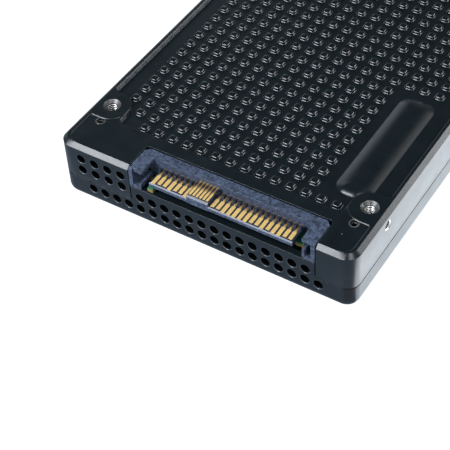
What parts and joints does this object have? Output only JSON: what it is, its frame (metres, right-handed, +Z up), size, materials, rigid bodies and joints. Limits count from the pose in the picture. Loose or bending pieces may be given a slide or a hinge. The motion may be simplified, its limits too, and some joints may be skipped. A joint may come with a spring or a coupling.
{
  "type": "solid state drive",
  "caption": "Drive in a black two-part metal case with a studded heat-shedding side, end vents and an edge plug with gold contacts.",
  "frame": {"origin": "under the middle of the drive, on the flat label side that it lies on", "axes": "+Z up through the studded mounting side, +Y from the connector end to the other end, +X across the drive, to the right when the connector end is in front"},
  "size_m": [0.0698, 0.1002, 0.015],
  "materials": {
    "case_coating": "satin black",
    "plug_plastic": "slightly glossy",
    "contact_gold": "gold plated",
    "peg_steel": "tinned",
    "board_green": "solder resist",
    "package_black": "matte",
    "coil_grey": "matte",
    "can_metal": "satin",
    "capacitor_sleeve": "glossy sleeve",
    "heat_pad": "soft, matte",
    "link_plastic": "matte",
    "spacer_plastic": "matte",
    "screw_steel": "blackened"
  },
  "bodies": {
    "root": {"stud_side_case": "case_coating", "label_side_cover": "case_coating", "connector_housing": "plug_plastic", "signal_contacts": "contact_gold", "power_contacts": "contact_gold", "narrow_contacts": "contact_gold", "rear_side_contacts": "contact_gold", "connector_pegs": "peg_steel", "main_board": "board_green", "second_board": "board_green", "controller_chip": "package_black", "memory_package_1": "package_black", "memory_package_2": "package_black", "power_chip": "package_black", "flash_package_1": "package_black", "flash_package_2": "package_black", "flash_package_3": "package_black", "flash_package_4": "package_black", "flash_package_5": "package_black", "flash_package_6": "package_black", "flash_package_7": "package_black", "flash_package_8": "package_black", "power_coil_1": "coil_grey", "power_coil_2": "coil_grey", "power_coil_3": "coil_grey", "clock_crystal": "can_metal", "hold_up_capacitor_1": "capacitor_sleeve", "hold_up_capacitor_2": "capacitor_sleeve", "controller_pad": "heat_pad", "memory_pad": "heat_pad", "upper_flash_pad": "heat_pad", "lower_flash_pad": "heat_pad", "board_link_plug": "link_plastic", "board_link_socket": "link_plastic", "board_spacer_1": "spacer_plastic", "board_spacer_2": "spacer_plastic", "case_screws": "screw_steel"}
  },
  "joints": []
}
